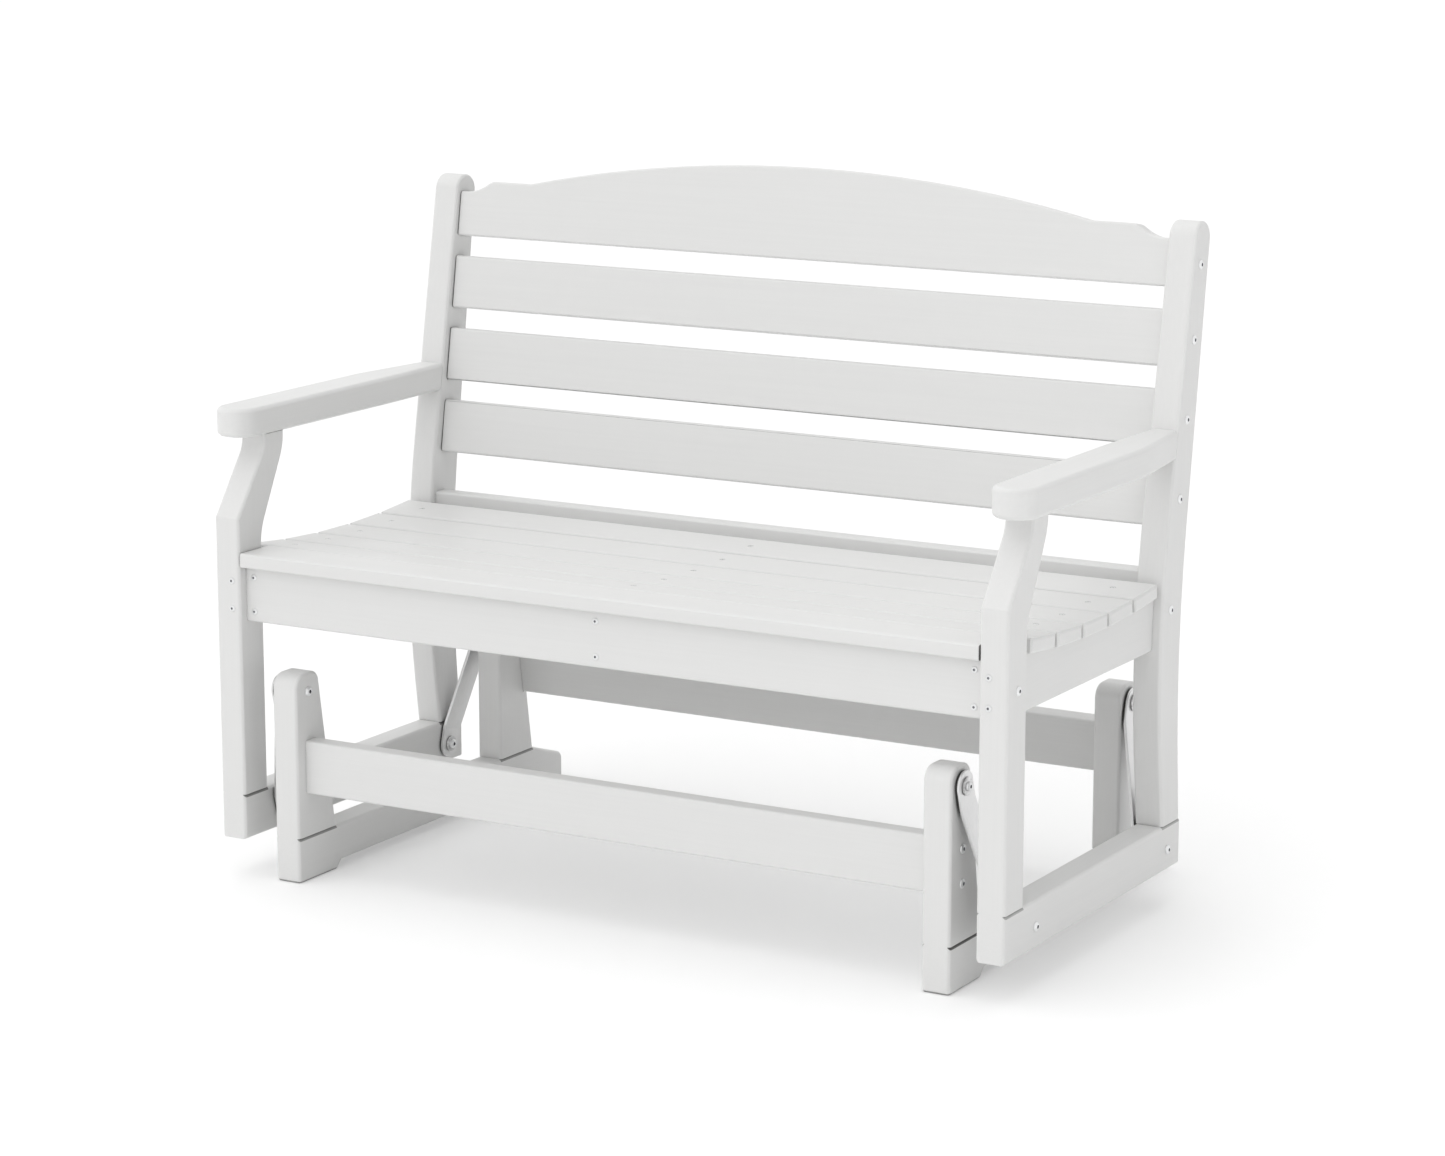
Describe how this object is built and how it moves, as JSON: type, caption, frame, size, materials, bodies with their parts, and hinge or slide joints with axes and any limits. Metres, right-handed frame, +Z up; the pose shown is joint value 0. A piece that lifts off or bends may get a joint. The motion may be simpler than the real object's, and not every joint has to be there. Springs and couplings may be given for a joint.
{
  "type": "porch glider bench",
  "caption": "Slatted two-seat porch glider bench with bent front legs and an arched top slat, swinging on joggled steel arms hung from a low base.",
  "frame": {"origin": "middle of the glider's footprint, on the floor", "axes": "+X along the bench to the right seen from in front, +Y to the back, +Z up"},
  "size_m": [1.176, 0.6556, 0.9151],
  "materials": {
    "white_boards": "satin white plastic lumber with faint streaks",
    "glide_steel": "satin",
    "fastener_steel": "bright",
    "bush_plastic": "moulded",
    "peg_plastic": "plain"
  },
  "bodies": {
    "base": {"right_base_rail": "white_boards", "left_base_rail": "white_boards", "base_front_right_upright": "white_boards", "base_front_left_upright": "white_boards", "base_rear_right_upright": "white_boards", "base_rear_left_upright": "white_boards", "base_front_stretcher": "white_boards", "base_rear_stretcher": "white_boards", "front_stretcher_bolts": "fastener_steel", "rear_stretcher_screws": "fastener_steel", "upright_screws": "fastener_steel", "upper_pivot_bolts": "fastener_steel", "upper_pivot_nuts": "fastener_steel", "upper_pivot_spacers": "fastener_steel"},
    "front_arms": {"right_front_glide_arm": "glide_steel", "left_front_glide_arm": "glide_steel", "front_arm_bushes": "bush_plastic"},
    "rear_arms": {"right_rear_glide_arm": "glide_steel", "left_rear_glide_arm": "glide_steel", "rear_arm_bushes": "bush_plastic"},
    "bench": {"right_bottom_rail": "white_boards", "left_bottom_rail": "white_boards", "right_front_leg": "white_boards", "left_front_leg": "white_boards", "right_rear_post": "white_boards", "left_rear_post": "white_boards", "right_arm": "white_boards", "left_arm": "white_boards", "right_seat_skirt": "white_boards", "left_seat_skirt": "white_boards", "right_seat_support": "white_boards", "left_seat_support": "white_boards", "centre_seat_support": "white_boards", "front_apron": "white_boards", "rear_apron": "white_boards", "seat_slat_1": "white_boards", "seat_slat_2": "white_boards", "seat_slat_3": "white_boards", "seat_slat_4": "white_boards", "seat_slat_5": "white_boards", "seat_slat_6": "white_boards", "back_slat_1": "white_boards", "back_slat_2": "white_boards", "back_slat_3": "white_boards", "top_back_slat": "white_boards", "seat_slat_screws": "fastener_steel", "front_apron_screws": "fastener_steel", "leg_screws": "fastener_steel", "leg_bolts": "fastener_steel", "post_screws": "fastener_steel", "arm_screws": "fastener_steel", "bottom_rail_screws": "fastener_steel", "arm_dowels": "peg_plastic", "front_slat_dowels": "peg_plastic", "lower_pivot_bolts": "fastener_steel", "lower_pivot_nuts": "fastener_steel", "lower_pivot_spacers": "fastener_steel"}
  },
  "joints": [
    {"name": "front_arm_swing", "type": "hinge", "parent": "base", "child": "front_arms", "pos_m": [0, -0.2889, 0.2545], "axis": [1, 0, 0], "range_deg": [-17, 17]},
    {"name": "bench_pivot", "type": "hinge", "parent": "front_arms", "child": "bench", "pos_m": [0, -0.2422, 0.08], "axis": [1, 0, 0], "range_deg": [-21.2, 21.2]},
    {"name": "rear_arm_swing", "type": "hinge", "parent": "base", "child": "rear_arms", "pos_m": [0, 0.1921, 0.2545], "axis": [1, 0, 0], "range_deg": [-17.1, 17.1]}
  ],
  "couplings": [
    {"joint": "bench_pivot", "follows": "front_arm_swing", "ratio": -1.2422},
    {"joint": "rear_arm_swing", "follows": "front_arm_swing", "ratio": 1}
  ]
}
